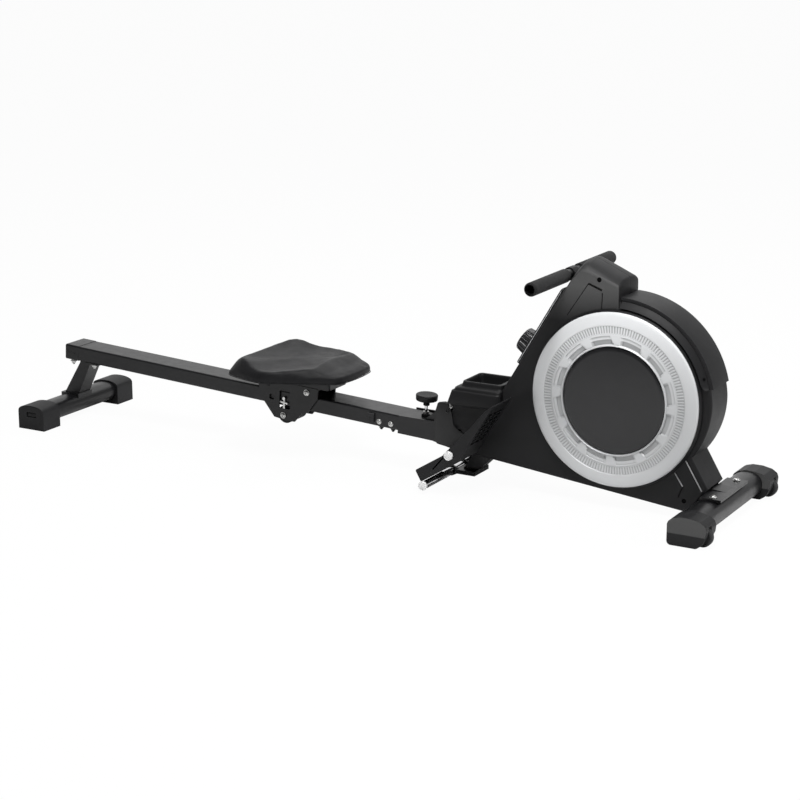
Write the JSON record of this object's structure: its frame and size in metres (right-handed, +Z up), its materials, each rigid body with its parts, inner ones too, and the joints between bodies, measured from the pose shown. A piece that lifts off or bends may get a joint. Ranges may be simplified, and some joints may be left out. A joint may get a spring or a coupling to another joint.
{
  "type": "magnetic rowing machine",
  "caption": "Folding magnetic rower with sloping rail, sliding seat, round flywheel housing, pull handle on a strap, hinged pedals and a transport-wheel stand.",
  "frame": {"origin": "on the floor, below the middle of the machine's overall box", "axes": "+X towards the flywheel end, which the rower faces; +Y to the rower's left, across the machine's plane of symmetry; +Z up"},
  "size_m": [2.002, 0.483, 0.5895],
  "materials": {
    "black_steel": "semi-gloss black powder coat",
    "black_plastic": "fine-textured moulded black plastic",
    "gloss_black": "polished black plastic",
    "silver_plastic": "silver-painted plastic",
    "chrome": "polished chrome",
    "zinc": "bright zinc plate",
    "raw_iron": "machined cast iron",
    "white_plastic": "smooth white plastic",
    "rubber": "matte black rubber",
    "cable_sheath": "smooth black sheath",
    "foam": "fine closed-cell foam",
    "vinyl": "grained black covering",
    "webbing": "woven black webbing",
    "screen": "clear dark display window",
    "red_plastic": "smooth red plastic"
  },
  "bodies": {
    "frame": {"main_frame": "black_steel", "hinge_cradle": "black_steel", "middle_foot": "black_steel", "front_stabilizer_tube": "black_steel", "front_cap_right": "black_plastic", "front_cap_left": "black_plastic", "housing_right": "black_plastic", "housing_left": "black_plastic", "drum_guard": "black_plastic", "trim_ring_right": "silver_plastic", "trim_ring_left": "silver_plastic", "centre_disc_right": "gloss_black", "centre_disc_left": "gloss_black", "storage_tray": "black_plastic", "console_body": "black_plastic", "console_screen": "screen", "pull_strap": "webbing", "reel_strap": "webbing", "drive_belt": "rubber", "recoil_spring": "zinc", "tension_cable": "cable_sheath", "pedal_axle": "chrome", "stop_rod": "chrome", "pivot_bolt": "black_steel", "saddle_bolt_right": "zinc", "saddle_bolt_left": "zinc"},
    "rail": {"rail": "black_steel", "rail_end_cap": "black_plastic", "rear_leg": "black_steel", "rear_stabilizer_tube": "black_steel", "rear_cap_right": "black_plastic", "rear_cap_left": "black_plastic", "rail_stop_right": "rubber", "rail_stop_left": "rubber"},
    "seat": {"seat_carriage": "black_steel", "seat_plate": "black_steel", "seat_pad": "vinyl"},
    "front_roller": {"front_roller": "black_plastic"},
    "rear_roller": {"rear_roller": "black_plastic"},
    "lower_roller": {"lower_roller": "black_plastic"},
    "pull": {"pull_knob": "black_plastic", "lock_pin": "chrome"},
    "handle": {"handle_bar": "black_steel", "grip_right": "foam", "grip_left": "foam", "strap_clip": "black_plastic"},
    "reel": {"strap_reel": "black_plastic"},
    "guide": {"guide_roller": "white_plastic"},
    "flywheel": {"flywheel": "raw_iron", "flywheel_axle": "zinc"},
    "pulley": {"drive_pulley": "black_plastic"},
    "knob": {"tension_knob": "black_plastic"},
    "shoe": {"magnet_shoe": "zinc", "brake_magnet": "raw_iron"},
    "button": {"console_button": "red_plastic"},
    "wheel_right": {"transport_wheel_right": "rubber"},
    "wheel_left": {"transport_wheel_left": "rubber"},
    "pedal_right": {"pedal_right": "black_plastic"},
    "pedal_left": {"pedal_left": "black_plastic"}
  },
  "joints": [
    {"name": "rail_fold", "type": "hinge", "parent": "frame", "child": "rail", "pos_m": [0.223, 0, 0.172], "axis": [0, 1, 0], "range_deg": [0, 65]},
    {"name": "seat_slide", "type": "slide", "parent": "rail", "child": "seat", "axis": [0.9983, 0, -0.0581], "range_m": [-0.54, 0.145]},
    {"name": "front_roller_spin", "type": "hinge", "parent": "seat", "child": "front_roller", "pos_m": [-0.17376, 0, 0.17007], "axis": [0, 1, 0], "continuous": true},
    {"name": "rear_roller_spin", "type": "hinge", "parent": "seat", "child": "rear_roller", "pos_m": [-0.29056, 0, 0.17687], "axis": [0, 1, 0], "continuous": true},
    {"name": "lower_roller_spin", "type": "hinge", "parent": "seat", "child": "lower_roller", "pos_m": [-0.24593, 0, 0.10035], "axis": [0, 1, 0], "continuous": true},
    {"name": "pull_knob_lift", "type": "slide", "parent": "rail", "child": "pull", "axis": [0.0581, 0, 0.9983], "range_m": [0, 0.012], "stiffness_N_per_m": 400},
    {"name": "handle_pull", "type": "slide", "parent": "frame", "child": "handle", "axis": [-1, 0, 0], "range_m": [0, 0.85], "stiffness_N_per_m": 20, "deforming": ["pull_strap"]},
    {"name": "reel_spin", "type": "hinge", "parent": "frame", "child": "reel", "pos_m": [0.482, 0, 0.235], "axis": [0, 1, 0], "continuous": true},
    {"name": "guide_spin", "type": "hinge", "parent": "frame", "child": "guide", "pos_m": [0.605, 0, 0.532], "axis": [0, 1, 0], "continuous": true},
    {"name": "flywheel_spin", "type": "hinge", "parent": "frame", "child": "flywheel", "pos_m": [0.6877, 0, 0.2672], "axis": [0, 1, 0], "continuous": true},
    {"name": "pulley_spin", "type": "hinge", "parent": "frame", "child": "pulley", "pos_m": [0.482, 0, 0.235], "axis": [0, 1, 0], "continuous": true},
    {"name": "tension_knob_turn", "type": "hinge", "parent": "frame", "child": "knob", "pos_m": [0.4515, 0, 0.35529], "axis": [-0.859, 0, 0.512], "range_deg": [0, 300]},
    {"name": "shoe_tilt", "type": "hinge", "parent": "frame", "child": "shoe", "pos_m": [0.61483, 0, 0.41021], "axis": [0, 1, 0], "range_deg": [-5, 0]},
    {"name": "console_button_press", "type": "slide", "parent": "frame", "child": "button", "axis": [0.859, 0, -0.512], "range_m": [0, 0.002], "stiffness_N_per_m": 500},
    {"name": "transport_wheel_right_spin", "type": "hinge", "parent": "frame", "child": "wheel_right", "pos_m": [0.977, -0.2149, 0.0245], "axis": [0, 1, 0], "continuous": true},
    {"name": "transport_wheel_left_spin", "type": "hinge", "parent": "frame", "child": "wheel_left", "pos_m": [0.977, 0.2149, 0.0245], "axis": [0, 1, 0], "continuous": true},
    {"name": "pedal_right_tilt", "type": "hinge", "parent": "frame", "child": "pedal_right", "pos_m": [0.3122, -0.1275, 0.1075], "axis": [0, 1, 0], "range_deg": [0, 25]},
    {"name": "pedal_left_tilt", "type": "hinge", "parent": "frame", "child": "pedal_left", "pos_m": [0.3122, 0.1275, 0.1075], "axis": [0, 1, 0], "range_deg": [0, 25]}
  ],
  "couplings": [
    {"joint": "front_roller_spin", "follows": "seat_slide", "rad_per_m": 102.04},
    {"joint": "rear_roller_spin", "follows": "seat_slide", "rad_per_m": 102.04},
    {"joint": "lower_roller_spin", "follows": "seat_slide", "rad_per_m": -41.667},
    {"joint": "reel_spin", "follows": "handle_pull", "rad_per_m": -34.722},
    {"joint": "guide_spin", "follows": "handle_pull", "rad_per_m": -75.188},
    {"joint": "pulley_spin", "follows": "flywheel_spin", "ratio": 0.3273},
    {"joint": "shoe_tilt", "follows": "tension_knob_turn", "ratio": -0.016667}
  ]
}
